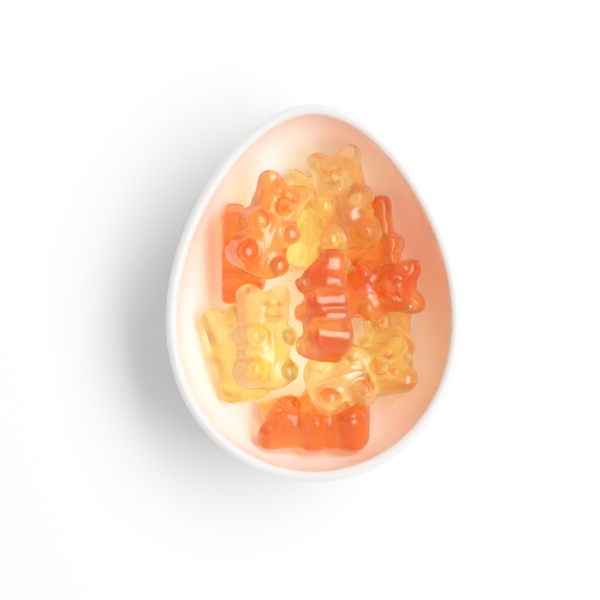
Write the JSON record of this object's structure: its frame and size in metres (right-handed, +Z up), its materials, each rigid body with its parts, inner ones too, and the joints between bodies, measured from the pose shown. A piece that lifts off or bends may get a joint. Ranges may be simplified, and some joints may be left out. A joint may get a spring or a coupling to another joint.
{
  "type": "gummy bears in a bowl",
  "caption": "Small egg-shaped white porcelain bowl on a foot ring, holding a loose pile of orange and yellow gummy bears, with the uppermost bear lying just above the rim.",
  "frame": {"origin": "on the table under the middle of the bowl", "axes": "+Z up, +Y to the bowl's narrow end, +X to the right when looked down on with the narrow end away"},
  "size_m": [0.059, 0.0756, 0.0383],
  "materials": {
    "porcelain": "white glazed porcelain, smooth and glossy",
    "orange_jelly": "translucent orange gelatine, smooth and moist",
    "yellow_jelly": "translucent pale amber-yellow gelatine, smooth and moist"
  },
  "bodies": {
    "root": {"bowl": "porcelain", "orange_bear_left": "orange_jelly", "yellow_bear_behind": "yellow_jelly", "orange_bear_right": "orange_jelly", "yellow_bear_left": "yellow_jelly", "orange_bear_near": "orange_jelly", "yellow_bear_right": "yellow_jelly", "yellow_bear_lower": "yellow_jelly", "yellow_bear_middle": "yellow_jelly", "orange_bear_upper": "orange_jelly", "orange_bear_middle": "orange_jelly", "yellow_bear_top": "yellow_jelly", "orange_bear_top": "orange_jelly"}
  },
  "joints": []
}
